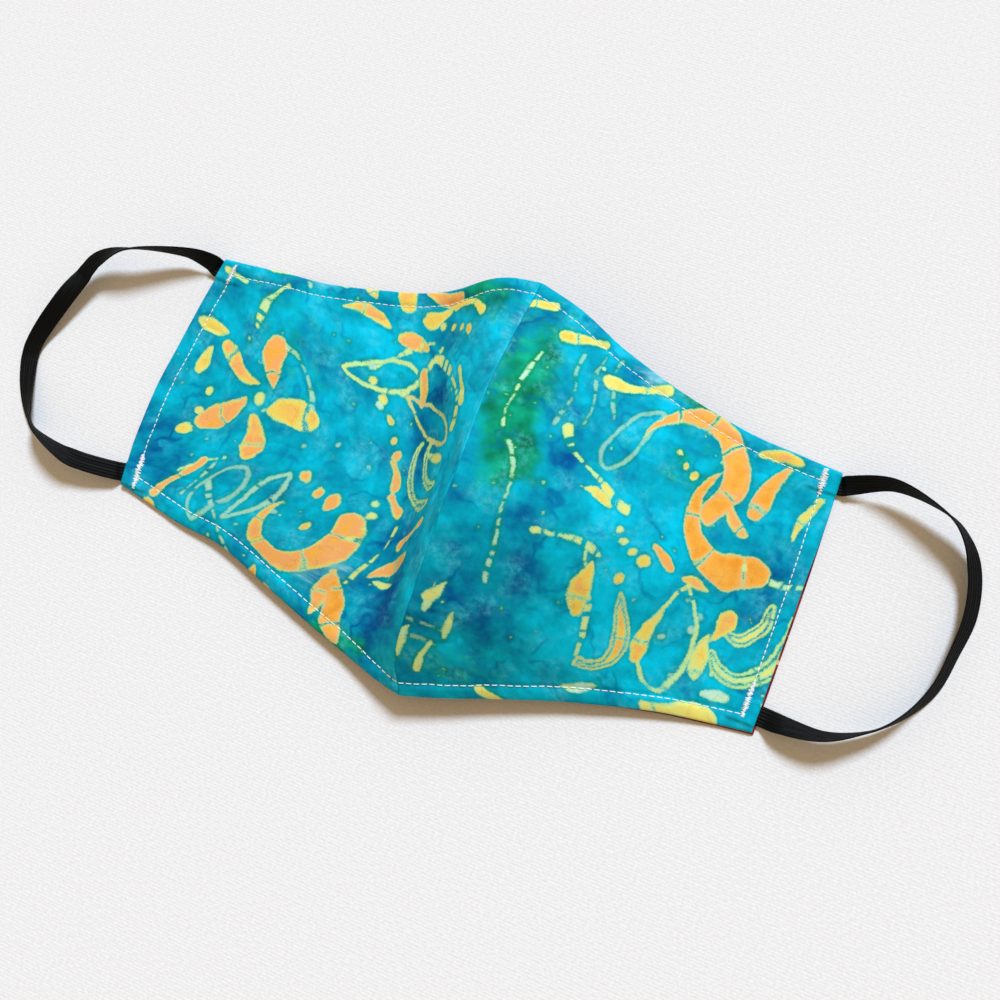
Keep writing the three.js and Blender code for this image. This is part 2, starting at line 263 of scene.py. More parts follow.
def cloth_grid(side, rows, columns, side_pull=None, chin_pull=None):
    """The underside of a half as a grid of points, from chin to nose and from side edge to seam. A pull is
    how far the outer panel is drawn in at the side or chin edge, as a function of the place along it."""
    at = spaced(rows, mean_height) / mean_height
    shares = np.linspace(0, 1, row_samples)
    samples = cloth_point(side, np.repeat(at, row_samples), np.tile(shares, rows))
    samples = samples.reshape(rows, row_samples, 3)
    steps = np.linalg.norm(np.diff(samples, axis=1), axis=2)
    lengths = np.concatenate([np.zeros((rows, 1)), np.cumsum(steps, axis=1)], axis=1)
    whole = lengths[:, -1]
    from_side = spaced(columns, whole)
    at = np.repeat(at[:, None], columns, axis=1)
    height = np.linalg.norm(seam_point(at[-1:, 0]) - seam_point(at[:1, 0]))
    if side_pull:
        from_side = from_side + side_pull(at) * np.clip(1 - from_side / pull_fade, 0, 1)
    if chin_pull:
        at = at + chin_pull(from_side) * np.clip(1 - at * mean_height / pull_fade, 0, 1) / height
    share = np.stack([np.interp(from_side[j], lengths[j], shares) for j in range(rows)])
    points = cloth_point(side, at.ravel(), share.ravel()).reshape(rows, columns, 3)
    facing = unit(np.cross(np.gradient(points, axis=1), np.gradient(points, axis=0)))
    facing *= np.sign(facing[..., 2:])
    edges = {
        "side": cloth_point(side, np.linspace(0, 1, 300), np.zeros(300)),
        "chin": cloth_point(side, np.zeros(400), np.linspace(0, 1, 400)),
        "nose": cloth_point(side, np.ones(400), np.linspace(0, 1, 400)),
        "seam": seam_point(np.linspace(0, 1, 400)),
    }
    grid = {"side": side, "points": points, "facing": facing, "at": at}
    grid["from_seam"] = whole[:, None] - from_side
    for name, line in edges.items():
        grid["to_" + name], grid["along_" + name] = reach_of(points, line)
    grid["to_seam"][:, -1] = 0
    grid["to_edge"] = np.minimum(grid["to_side"], np.minimum(grid["to_chin"], grid["to_nose"]))
    if not side_pull:
        grid["to_edge"][[0, -1]] = 0
        grid["to_edge"][:, 0] = 0
    return grid


def add_mitre(grids):
    """Where the halves meet, both rise along the plane between them"""
    mitre = unit(grids["left"]["facing"][:, -1] + grids["right"]["facing"][:, -1])
    for side, grid in grids.items():
        near = (1 - smooth(grid["to_seam"] / seam_mitre))[..., None]
        rise = grid["facing"] * (1 - near) + mitre[:, None] * near
        grid["rise"] = rise / np.sum(rise * grid["facing"], axis=2, keepdims=True)
        apart = np.zeros_like(mitre)
        apart[:, 0] = halves[side]["way"]
        apart -= mitre * np.sum(apart * mitre, axis=1, keepdims=True)
        grid["apart"] = unit(apart) * seam_gap / 2


def relief(grid):
    """Soft unevenness of the sewn cloth: puckers across the stitch lines and slow waves between them"""
    x, y = grid["points"][..., 0], grid["points"][..., 1]
    free = smooth((grid["to_side"] - 10 * mm) / (14 * mm)) * smooth(grid["to_edge"] / (10 * mm))
    waves = slow_wave * cloudy(x, y, 23 * mm, 5) + quick_wave * cloudy(x + 0.6 * y, y, 10 * mm, 6)
    waves = waves * free * smooth(grid["to_seam"] / (14 * mm))
    seam_puckers = cloudy(grid["along_seam"], 0 * x, 3.4 * mm, 7) * np.exp(-grid["to_seam"] / (5 * mm))
    seam_puckers *= seam_pucker * smooth(grid["to_edge"] / (6 * mm))
    edge_puckers = 0 * x
    for seed, name in ((8, "chin"), (9, "nose")):
        off_line = np.abs(grid["to_" + name] - 6 * mm)
        edge_puckers += cloudy(grid["along_" + name], 0 * x, 3.1 * mm, seed) * np.exp(-off_line / (3.5 * mm))
    edge_puckers *= edge_pucker * smooth(grid["to_side"] / (20 * mm)) * smooth(grid["to_edge"] / (2.5 * mm))
    return waves + seam_puckers + edge_puckers


def risen(grid, height):
    """The grid's points at a height above the underside, as they lie in the frame"""
    points = grid["points"] + grid["rise"] * (height + grid["relief"])[..., None]
    points[:, -1] += grid["apart"]
    points[..., 2] = np.maximum(points[..., 2], floor_clearance)
    return points + mask_middle


def mesh_object(name, points, faces, flat=None):
    """A new object of these points and faces. flat holds the points' places on the cloth, for its UV map."""
    mesh = bpy.data.meshes.new(name)
    mesh.from_pydata(points.reshape(-1, 3), [], faces)
    mesh.update()
    mesh.shade_smooth()
    if flat is not None:
        layer = mesh.uv_layers.new(name="UVMap")
        corners = np.empty(len(mesh.loops), int)
        mesh.loops.foreach_get("vertex_index", corners)
        layer.data.foreach_set("uv", flat.reshape(-1, 2)[corners].astype(np.float32).ravel())
    piece = bpy.data.objects.new(name, mesh)
    bpy.context.scene.collection.objects.link(piece)
    return piece


def closed_sheet(name, grid, lower, upper):
    """A mesh object between two layers of grid points, with a rim that joins them"""
    rows, columns = lower.shape[:2]
    count = rows * columns
    index = np.arange(count).reshape(rows, columns)
    quads = np.stack([index[:-1, :-1], index[:-1, 1:], index[1:, 1:], index[1:, :-1]], -1).reshape(-1, 4)
    rim = np.concatenate([index[0, :-1], index[:-1, -1], index[-1, :0:-1], index[:0:-1, 0]])
    ahead = np.roll(rim, -1)
    walls = np.stack([rim, ahead, ahead + count, rim + count], -1)
    faces = np.concatenate([quads + count, quads[:, ::-1], walls])
    way = halves[grid["side"]]["way"]
    if way > 0:
        faces = faces[:, ::-1]
    u = 0.5 + way * (uv_seam_gap + grid["from_seam"] / uv_span)
    v = 0.5 + grid["along_cloth"] / uv_span
    flat = np.stack([u, v], -1)
    return mesh_object(name, np.stack([lower, upper]), faces, np.stack([flat, flat]))


def finish_grids(grids):
    add_mitre(grids)
    for grid in grids.values():
        grid["relief"] = relief(grid)
        line = np.linalg.norm(np.diff(grid["points"], axis=0), axis=2).sum(axis=0)
        grid["along_cloth"] = (grid["at"] - 0.5) * line
    return grids


lining_grids = finish_grids({side: cloth_grid(side, lining_rows, lining_columns) for side in halves})


def rolled(distance, radius):
    """Share of the full height near a turned-in edge, a quarter round"""
    inward = np.clip(distance / radius, 0, 1)
    return np.sqrt(1 - (1 - inward) ** 2)


def node(tree, kind, settings=None, **inputs):
    """A shader node. An input is a value or another node's output, under the socket's name."""
    made = tree.nodes.new(kind)
    for name, value in (settings or {}).items():
        setattr(made, name, value)
    for name, value in inputs.items():
        socket = made.inputs[int(name[1:])] if name[0] == "_" else made.inputs[name.replace("_", " ")]
        if isinstance(value, bpy.types.NodeSocket):
            tree.links.new(value, socket)
        else:
            socket.default_value = value
    return made


def colour(red, green, blue):
    """A colour as seen on a screen, 0 to 255, as the renderer wants it"""
    values = [c / 255 for c in (red, green, blue)]
    return (*(c / 12.92 if c <= 0.04045 else ((c + 0.055) / 1.055) ** 2.4 for c in values), 1)


def material(name):
    """A new material with its node tree and its main shader"""
    made = bpy.data.materials.new(name)
    made.use_nodes = True
    return made, made.node_tree, made.node_tree.nodes["Principled BSDF"]


def cloth_place():
    """The cloth's own coordinates in millimetres, from its UV map"""
    uv = node(tree, "ShaderNodeUVMap", {"uv_map": "UVMap"}).outputs[0]
    spans = (uv_span / mm,) * 3
    return node(tree, "ShaderNodeVectorMath", {"operation": "MULTIPLY"}, _0=uv, _1=spans).outputs[0]


def attribute(name):
    return node(tree, "ShaderNodeAttribute", {"attribute_name": name}).outputs["Fac"]


def noise(size, detail=2, roughness=0.5, vector=None):
    """Noise from 0 to 1 with blobs of about this size in millimetres"""
    settings = {"Vector": vector or place, "Scale": 1 / size, "Detail": detail, "Roughness": roughness}
    return node(tree, "ShaderNodeTexNoise", **settings).outputs["Fac"]


def math_node(operation, *values, clamp=False):
    sockets = {f"_{k}": value for k, value in enumerate(values)}
    return node(tree, "ShaderNodeMath", {"operation": operation, "use_clamp": clamp}, **sockets).outputs[0]


def scaled(value, factor, plus, clamp=False):
    """A value times a factor, plus another"""
    return math_node("MULTIPLY_ADD", value, factor, plus, clamp=clamp)


def smooth_range(value, low, high):
    """From 0 to 1, without corners, as a value goes from low to high"""
    ends = {"Value": value, "From Min": low, "From Max": high}
    return node(tree, "ShaderNodeMapRange", {"interpolation_type": "SMOOTHSTEP"}, **ends).outputs["Result"]


def mixed(share, first, second, kind="MIX"):
    """Two colours mixed by a share of the second"""
    settings = {"data_type": "RGBA", "blend_type": kind}
    return node(tree, "ShaderNodeMix", settings, _0=share, _6=first, _7=second).outputs[2]


def ramp(value, *stops):
    """Colours at places from 0 to 1, with smooth steps between them"""
    made = node(tree, "ShaderNodeValToRGB", _0=value)
    elements = made.color_ramp.elements
    while len(elements) < len(stops):
        elements.new(0.5)
    for element, (at, shade) in zip(elements, stops):
        element.position = at
        element.color = shade
    return made.outputs["Color"]


def threads(direction, pitch, distortion):
    """The threads of a weave that run one way"""
    settings = {"wave_type": "BANDS", "bands_direction": direction}
    inputs = {"Vector": place, "Scale": math.pi / 10 / pitch, "Distortion": distortion, "Detail Scale": 0.5}
    return node(tree, "ShaderNodeTexWave", settings, **inputs).outputs["Fac"]


def bumped(height, strength, depth):
    bump = node(tree, "ShaderNodeBump", Height=height, Strength=strength, Distance=depth)
    tree.links.new(bump.outputs[0], shader.inputs["Normal"])


def weave_bump(pitch, strength, depth):
    """Bump of a plain weave with this thread pitch in millimetres"""
    waves = math_node("ADD", threads("X", pitch, 1.2), threads("Y", pitch, 1.2))
    bumped(scaled(noise(0.8, 3), 0.6, waves), strength, depth)


def grained(shade):
    """A colour with the light and dark of its fine yarns"""
    return mixed(0.6, shade, scaled(noise(0.55, 2), 0.3, 0.85), "MULTIPLY")


def coloured(shade, roughness, specular):
    """Gives the main shader its colour, from a node, and its gloss"""
    tree.links.new(shade, shader.inputs["Base Color"])
    shader.inputs["Roughness"].default_value = roughness
    shader.inputs["Specular IOR Level"].default_value = specular


# Dark red dye, mottled towards brown and orange-red, with a few pale resist flecks
lining_material, tree, shader = material("lining_cotton_batik")
place = cloth_place()
reds = ramp(
    noise(14, 5, 0.6),
    (0.3, colour(52, 10, 28)),
    (0.46, colour(92, 18, 30)),
    (0.6, colour(142, 42, 34)),
    (0.74, colour(186, 92, 52)),
)
flecks = smooth_range(noise(7, 3, 0.6), 0.64, 0.68)
reds = mixed(flecks, reds, colour(222, 190, 130))
coloured(grained(reds), 0.82, 0.25)
weave_bump(0.36, 0.35, 0.05 * mm)

for side, grid in lining_grids.items():
    edge = rolled(grid["to_edge"], 0.4 * mm)
    trough = stitch_dip * np.exp(-((grid["to_edge"] - stitch_inset) / stitch_trough) ** 2)
    grid["under"] = risen(grid, 0.12 * mm * (1 - edge) + trough)
    upper = risen(grid, cloth_thickness * (0.5 + 0.5 * edge))
    piece = closed_sheet(f"lining_{side}_cloth", grid, grid["under"], upper)
    piece.data.materials.append(lining_material)
    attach(piece, "root")
    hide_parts(f"lining_{side}")

# Ear loops
# One flat black braided elastic at each side, with fine ribs along it, its ends sewn into the side hem.
# Each stands on edge and rolls over as it swings out over the surface and back.
elastic_width = 6.8 * mm
elastic_thickness = 0.82 * mm
rib_count = 6
rib_depth = 0.2 * mm
corner_margin = 1.1 * mm
lower_right_corner_margin = 3 * mm
loop_mouth = 0.8 * mm
loop_clearance = 0.3 * mm
loop_lift = 7.2 * mm
loop_step = 0.8 * mm
sewn_level = cloth_thickness + 0.06 * mm

# From the nose-side end to the chin-side end, as shares of the loop's reach, of the sewn end's distance from
# the middle and of the lift, with the roll in degrees: 0 where the elastic lies flat and 90 where it stands
# on edge
left_loop = table(
    "out along lift roll",
    (0.05, 1.015, 0.15, 30),
    (0.225, 1.01, 0.42, 78),
    (0.585, 0.835, 1, 119),
    (0.765, 0.68, 0.95, 169),
    (0.81, 0.57, 0.85, 173),
    (0.895, 0.205, 0.55, 209),
    (1, -0.245, 0.08, 184),
    (0.955, -0.49, 0, 172),
    (0.79, -0.835, 0.06, 131),
    (0.68, -0.935, 0.38, 91),
    (0.455, -1.03, 0.62, 47),
    (0.335, -1.05, 0.7, 12),
    (0.09, -1.015, 0.35, 4),
)
right_loop = table(
    "out along lift roll",
    (0.05, 1.01, 0.2, 22),
    (0.31, 1.11, 0.6, 66),
    (0.675, 1.015, 0.8, 108),
    (0.82, 0.895, 0.62, 128),
    (0.935, 0.695, 0.3, 145),
    (1, 0.37, 0.1, 142),
    (0.98, 0.02, 0, 130),
    (0.94, -0.285, 0, 125),
    (0.84, -0.545, 0.06, 110),
    (0.72, -0.73, 0.14, 96),
    (0.635, -0.815, 0.25, 90),
    (0.4, -0.97, 0.5, 60),
    (0.155, -1.005, 0.35, 24),
)
loops = {
    "left": {"stops": left_loop, "reach": 57.5 * mm, "lower_margin": corner_margin},
    "right": {"stops": right_loop, "reach": 52.5 * mm, "lower_margin": lower_right_corner_margin},
}


def sewn_places(side):
    """Where along the side edge the two ends of an elastic are sewn in"""
    upper = side_height / 2 - (elastic_width / 2 + corner_margin)
    lower = side_height / 2 - (elastic_width / 2 + loops[side]["lower_margin"])
    return upper, -lower


def loop_route(side):
    """The stops of an ear loop: place in plan, height of the elastic's lower edge, roll in radians"""
    way, loop = halves[side]["way"], loops[side]
    upper, lower = sewn_places(side)
    tuck = hem_width - 2 * loop_clearance

    def sewn_end(y):
        edge = side_point(side, np.array([y / side_height + 0.5]))[0, 0]
        return [(edge + way * out, y, sewn_level, 0) for out in (-tuck, -tuck / 3, loop_mouth)]

    free = []
    for out, along, lift, roll in zip(*loop["stops"].values()):
        x = way * (mask_width / 2 + out * loop["reach"])
        y = along * (upper if along > 0 else -lower)
        free.append((x, y, loop_clearance + lift * loop_lift, math.radians(roll)))
    return np.array([*sewn_end(upper), *free, *reversed(sewn_end(lower))])


def centripetal(stops, place):
    """A centripetal Catmull-Rom curve through stops in plan, read at places counted in stops"""
    ends = np.vstack([2 * stops[0] - stops[1], stops, 2 * stops[-1] - stops[-2]])
    first = np.clip(np.floor(place).astype(int), 0, len(stops) - 2)
    t = (place - first)[:, None]
    a, b, c, d = (ends[first + k] for k in range(4))

    def knot(p, q):
        return np.maximum(np.sum((p - q) ** 2, axis=1) ** 0.25, 1e-6)[:, None]

    ab, bc, cd = knot(a, b), knot(b, c), knot(c, d)
    start = ((b - a) / ab - (c - a) / (ab + bc) + (c - b) / bc) * bc
    end = ((c - b) / bc - (d - b) / (bc + cd) + (d - c) / cd) * bc
    return b + start * t + (3 * (c - b) - 2 * start - end) * t ** 2 + (2 * (b - c) + start + end) * t ** 3


def elastic_section():
    """Half-width shares and heights round the section of the ribbed elastic, seen along it"""
    across = np.linspace(-1, 1, 6 * rib_count + 1)
    ribs = np.abs(np.sin(np.pi * rib_count * (across + 1) / 2))
    height = (elastic_thickness / 2 - rib_depth * (1 - ribs)) * np.sqrt(1 - 0.75 * across ** 8)
    top = np.stack([across * elastic_width / 2, height], -1)
    return np.concatenate([top, top[::-1] * (1, -1)])


def elastic_piece(side):
    """A ribbed elastic swept along its route, rolled as it goes, with both ends closed"""
    way = halves[side]["way"]
    route = loop_route(side)
    spans = np.hypot(*np.diff(route[:, :2], axis=0).T)
    places = [k + np.arange(n) / n for k, n in enumerate(np.ceil(spans / loop_step).astype(int))]
    place = np.append(np.concatenate(places), len(route) - 1)
    numbers = np.arange(len(route))
    roll = curve_at(numbers, route[:, 3], place)
    low = curve_at(numbers, route[:, 2], place)
    centre = np.zeros((len(place), 3))
    centre[:, :2] = centripetal(route[:, :2], place)
    centre[:, 2] = low + elastic_width / 2 * abs(np.sin(roll)) + elastic_thickness / 2 * abs(np.cos(roll))
    forward = unit(np.gradient(centre, axis=0))
    out = unit(np.stack([-way * forward[:, 1], way * forward[:, 0], 0 * roll], -1))
    across = out * np.cos(roll)[:, None] + np.array([0, 0, 1]) * np.sin(roll)[:, None]
    across = unit(across - forward * np.sum(across * forward, axis=1, keepdims=True))
    through = np.cross(forward, across)
    section = elastic_section()
    around = len(section)
    points = centre[:, None] + across[:, None] * section[:, :1] + through[:, None] * section[:, 1:]
    index = np.arange(len(place) * around).reshape(len(place), around)
    ahead = np.roll(index, -1, axis=1)
    quads = np.stack([index[:-1], ahead[:-1], ahead[1:], index[1:]], -1).reshape(-1, 4)
    faces = quads.tolist() + [index[0][::-1].tolist(), index[-1].tolist()]
    if way > 0:
        faces = [face[::-1] for face in faces]
    lengths = lengths_along(centre)
    u = np.repeat(lengths[:, None], around, axis=1) / uv_span
    girth = np.linalg.norm(np.diff(section, axis=0, prepend=section[:1]), axis=1).cumsum()
    v = np.repeat(girth[None], len(place), axis=0) / uv_span
    return mesh_object(f"ear_loop_{side}_elastic", points + mask_middle, faces, np.stack([u, v], -1))


# Black yarn with a faint sheen on its ribs, and the small crossings of the braid
elastic_material, tree, shader = material("black_braided_elastic")
place = cloth_place()
coloured(ramp(noise(0.5, 3), (0.3, colour(3, 4, 4)), (0.7, colour(10, 12, 11))), 0.5, 0.1)
weave_bump(0.5, 0.5, 0.08 * mm)

for side in halves:
    piece = elastic_piece(side)
    piece.data.materials.append(elastic_material)
    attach(piece, "root")
    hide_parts(f"ear_loop_{side}")

# Outer panels
# Two shaped panels of batik-printed cotton over the lining, turned in along the free edges and joined at the
# centre seam. The side hems stand up a little where an elastic lies between the layers.
outer_rows = 208
outer_columns = 234
layer_gap = 0.12 * mm
hem_puff = 0.28 * mm
seam_groove = 0.6 * mm
seam_round = 1.1 * mm
cloth_wave = 0.34 * mm
pucker = 0.24 * mm
crease_depth = 0.22 * mm
least_body = 0.15 * mm
side_pull_most = 0.8 * mm
chin_pull_most = 0.8 * mm


def side_pull(at):
    return side_pull_most * smooth((0.84 - at) / 0.3)


def chin_pull(from_side):
    return chin_pull_most * smooth((62 * mm - from_side) / (30 * mm))


outer_grids = finish_grids({
    "left": cloth_grid("left", outer_rows, outer_columns),
    "right": cloth_grid("right", outer_rows, outer_columns, side_pull, chin_pull),
})


def pocket(grid):
    """Where an elastic lies between the layers, from 0 to 1"""
    y = grid["points"][..., 1]
    over = 0 * y
    for sewn_y in sewn_places(grid["side"]):
        over += smooth((elastic_width / 2 + 1.3 * mm - np.abs(y - sewn_y)) / (1.2 * mm))
    return np.clip(over, 0, 1) * (1 - smooth((grid["to_side"] - hem_width + 0.5 * mm) / (3 * mm)))


def from_rim(grid):
    """Distance from the panel's own rim, which may be drawn in from the lining's edge"""
    rim = np.minimum(grid["from_seam"].max(axis=1, keepdims=True) - grid["from_seam"], grid["to_nose"])
    chin = grid["to_chin"] - grid["to_chin"][0]
    return np.maximum(np.minimum(rim, chin), 0)


def outer_heights(grid):
    """Heights of the panel's underside and top above the lining's underside"""
    under = cloth_thickness + layer_gap + pocket(grid) * (elastic_thickness + 0.05 * mm)
    rim = from_rim(grid)
    puff = hem_puff * smooth(rim / (2 * mm)) * smooth((stitch_inset - rim) / (2.5 * mm))
    dip = stitch_dip * np.exp(-((rim - stitch_inset) / stitch_trough) ** 2)
    groove = seam_groove * (1 - rolled(grid["to_seam"], seam_round))
    flat = grid["from_seam"] / mm, grid["along_cloth"] / mm
    waves = cloth_wave * cloudy(*flat, 22, 41) * smooth((rim - stitch_inset) / (8 * mm))
    puckers = pucker * cloudy(*flat, 3.6, 42) * np.exp(-((rim - stitch_inset) / (4 * mm)) ** 2)
    creases = crease_depth * smooth(1 - 4 * np.abs(cloudy(0.6 * flat[0], flat[1], 9, 43)))
    creases *= smooth(3 * cloudy(*flat, 24, 44) + 0.2) * smooth((rim - stitch_inset) / (3 * mm))
    loose = smooth(grid["to_seam"] / (8 * mm))
    body = cloth_thickness + puff - dip - groove + (waves + puckers - creases) * loose
    return under, under + np.maximum(body, least_body) * (0.2 + 0.8 * rolled(rim, edge_roll))


# The wax-resist motifs: kind, distance from the seam, place along it towards the chin, heading, length,
# width, bend and tone. Lengths are millimetres on the flat cloth. Angles are degrees, with 0 pointing away
# from the seam and 90 towards the chin. The tone runs from orange at 0 through peach, yellow and pale green
# to mint at 1.
def flower(from_seam, along, petals, reach, width, first, tone):
    """Petals round a middle, with their round ends outwards, and a dot in the middle"""
    rows = [("dot", from_seam, along, 0, 0, width / 3, 0, tone + 0.4)]
    for k in range(petals):
        angle = first + 360 * k / petals + 9 * math.sin(3 * k)
        x = from_seam + reach * math.cos(math.radians(angle))
        y = along + reach * math.sin(math.radians(angle))
        grown = 1 + 0.16 * math.sin(2.3 * k + first)
        rows.append(("drop", x, y, angle + 180, 0.86 * reach, width * grown, 22, tone + 0.09 * (k % 3)))
    return rows


def trail(from_seam, along, heading, bend, count, spacing, width, tone):
    """Dots along a bent line, growing smaller"""
    rows = []
    for k in range(count):
        size = width * (1 - 0.5 * k / count) * (1 + 0.25 * math.sin(5 * k))
        rows.append(("dot", from_seam, along, 0, 0, size, 0, tone + 0.06 * k))
        from_seam += spacing * math.cos(math.radians(heading + bend * k / count))
        along += spacing * math.sin(math.radians(heading + bend * k / count))
    return rows


right_motifs = [
    ("stroke", 138, 37, -10, 17, 11, 12, 0.76),
    ("stroke", 147, 14, 70, 14, 7, -30, 0.74),
    ("leaf", 62, 28, -100, 20, 6.5, 24, 0.42),
    ("stroke", 88, 4, 200, 9, 5, 20, 0.2),
    ("curl", 136, 6, 84, 46, 6.6, 165, 0.66),
    ("curl", 127, 3, 86, 29, 5.6, 170, 0.5),
    ("drop", 115, 11, 112, 12, 8, 10, 0.34),
    ("line", 143, -2, 196, 44, 2, -38, 0.78),
    ("stroke", 112, 40, -12, 10, 4, 0, 0.84),
    ("leaf", 108, 36, -95, 17, 6, 14, 0.6),
    ("stroke", 92, 50, -14, 22, 8, 12, 0.6),
    ("ring", 98, 42, -96, 36, 17, 10, 0.66),
    ("drop", 89, 33, 265, 17, 7.5, 30, 0.4),
    ("curl", 75, 17, 50, 34, 6.5, 150, 0.3),
    ("line", 68, 43, -96, 38, 2.4, -18, 0.7),
    ("leaf", 64, 52, -12, 14, 3.4, 0, 0.8),
    ("drop", 119, -5, 150, 56, 12, 172, 0.08),
    ("leaf", 94, 5, -10, 11, 4, 30, 0.3),
    ("drop", 96, -19, -50, 66, 11.5, -215, 0.15),
    ("leaf", 112, -14, 200, 16, 5, 60, 0.24),
    ("leaf", 139, -12, -70, 24, 8, 36, 0.2),
    ("leaf", 127, -18, -88, 18, 3.6, 20, 0.5),
    ("drop", 112, -24, -84, 19, 9, 22, 0.14),
    ("stroke", 119, -45, 170, 12, 5, 10, 0.34),
    ("stroke", 66, -54, 168, 18, 6.5, 8, 0.52),
    ("stroke", 42, -64, 160, 16, 5, 16, 0.42),
    *trail(86, -30, -150, 60, 3, 4.6, 3.4, 0.3),
    *trail(77, 5, -150, 60, 4, 4.6, 4, 0.42),
    ("leaf", 62, -10, 200, 13, 4.6, -25, 0.5),
    ("line", 68, -12, 190, 34, 3.2, 50, 0.62),
    ("line", 64, 6, 200, 24, 2.4, -40, 0.7),
    ("ring", 56, -22, -70, 28, 12, 20, 1.1),
    ("line", 52, -38, -110, 24, 1.4, 30, 1),
    ("line", 44, -34, -100, 26, 1.3, 20, 0.98),
    ("line", 36, -30, -95, 26, 1.4, 10, 0.98),
    ("line", 31, 26, -92, 44, 1.5, -16, 0.86),
    ("stroke", 20, 66, -84, 12, 3, 10, 0.62),
    ("leaf", 13, 62, -80, 12, 2.8, 0, 0.7),
    ("leaf", 26, 52, -96, 13, 2.8, 10, 0.66),
    ("leaf", 17, 44, -90, 12, 2.4, 0, 0.74),
    ("stroke", 40, 66, 4, 20, 4.2, -12, 0.52),
    ("leaf", 11, 66, -104, 17, 4.6, 10, 0.44),
    ("stroke", 8, 72, 178, 7, 3.6, 0, 0.3),
    ("line", 24, 55, 196, 18, 1.5, -46, 1.04),
    ("line", 24, 49, 196, 20, 1.4, -46, 1.04),
    ("drop", 16, 38, -60, 9, 5, 0, 0.7),
    ("line", 21, -22, -96, 30, 1.6, 12, 0.8),
    ("stroke", 20, -70, 165, 16, 4.6, -12, 0.45),
    ("dot", 102, 20, 0, 0, 2.6, 0, 0.9),
    ("dot", 94, 25, 0, 0, 2.2, 0, 0.95),
    ("dot", 72, 12, 0, 0, 3.6, 0, 0.46),
    ("dot", 103, -2, 0, 0, 3.2, 0, 0.5),
    ("dot", 129, -34, 0, 0, 2.6, 0, 0.5),
]
left_motifs = [
    ("leaf", 16, 68, -72, 31, 8, 24, 0.12),
    ("leaf", 27, 60, -86, 20, 5.5, 10, 0.2),
    ("stroke", 26, 76, -20, 12, 8, 10, 0.34),
    ("stroke", 41, 62, -20, 7, 5, 0, 0.14),
    ("leaf", 60, 66, -122, 14, 5, 14, 0.1),
    ("stroke", 70, 60, -20, 9, 3.6, 0, 0.26),
    ("drop", 37, 23, 118, 62, 12.5, -240, 0.24),
    ("dot", 49, 30, 0, 0, 3.4, 0, 0.3),
    ("drop", 5, 27, 20, 19, 9, 40, 0.18),
    ("leaf", 4, 36, 12, 12, 3.6, 0, 0.6),
    ("stroke", 3, 14, 22, 15, 5, 24, 0.2),
    ("line", 24, 44, -98, 26, 1.8, 16, 0.4),
    ("stroke", 27, 13, -40, 7, 5.4, 0, 0.2),
    ("stroke", 33, 5, -62, 9, 4.8, 10, 0.2),
    *trail(37, -5, -62, 12, 5, 6, 4, 0.22),
    *trail(34, 33, -96, 34, 5, 5, 3.4, 0.45),
    *trail(48, 19, -12, -30, 3, 7.5, 6.4, 0.18),
    ("curl", 6, 7, 12, 36, 3.4, -160, 0.34),
    ("curl", 5, 1, 12, 27, 3, -165, 0.44),
    ("leaf", 6, -5, 0, 15, 3.6, -20, 0.5),
    ("ring", 7, -11, -28, 34, 12, 10, 0.2),
    ("stroke", 30, -24, -95, 9, 5, 10, 0.24),
    ("line", 4, -17, -96, 34, 3.6, 100, 0.62),
    ("stroke", 2, -27, -80, 12, 4.4, 20, 0.6),
    ("ring", 67, 16, 80, 28, 8, -8, 0.9),
    ("ring", 80, 22, 76, 27, 13, 12, 0.96),
    ("line", 90, 22, 20, 16, 2, 40, 0.7),
    ("line", 92, 40, -100, 15, 1.5, 20, 0.9),
    ("line", 64, 58, -55, 34, 1.8, 14, 0.9),
    ("stroke", 104, 44, -116, 19, 5.4, 10, 0.2),
    ("dot", 105, 49, 0, 0, 5, 0, 0.4),
    *flower(92, -3, 5, 21, 11, 40, 0.2),
    ("leaf", 122, -22, 170, 13, 6.5, 20, 0.56),
    ("drop", 121, -4, -120, 11, 6, 0, 0.5),
    *trail(112, 17, -82, -14, 3, 8, 5, 0.48),
    ("line", 98, -26, -96, 22, 2.8, -50, 0.66),
    ("line", 70, -6, -80, 24, 2, 60, 0.92),
    ("ring", 33, -32, 20, 30, 11, -16, 0.6),
    ("leaf", 44, -41, 196, 16, 7, -30, 0.24),
    ("leaf", 47, -44, -34, 20, 4.4, 60, 0.3),
    ("drop", 40, -54, -70, 24, 10, -12, 0.34),
    ("leaf", 54, -52, -40, 15, 5.5, -60, 0.3),
    ("stroke", 3, -59, -24, 18, 5, 38, 0.36),
    ("stroke", 19, -64, 14, 14, 6.5, -20, 0.24),
    ("drop", 32, -52, 215, 13, 7.5, 10, 0.44),
    ("stroke", 24, -72, -4, 20, 3.6, -10, 0.66),
    *trail(8, -51, -8, 20, 5, 5.6, 4, 0.3),
    ("line", 22, -44, 60, 26, 2.2, -24, 0.62),
    ("line", 27, -45, 22, 28, 2.2, 24, 0.64),
    ("stroke", 66, -53, -8, 13, 3.4, 0, 0.9),
    ("stroke", 86, -50, -6, 12, 3.6, 0, 0.5),
    ("stroke", 104, -42, -10, 8, 3, 0, 0.6),
    ("dot", 62, 30, 0, 0, 2.6, 0, 0.96),
    ("dot", 47, -18, 0, 0, 2.6, 0, 0.85),
    ("dot", 51, -30, 0, 0, 2.6, 0, 0.9),
    ("dot", 57, 2, 0, 0, 2, 0, 0.95),
]

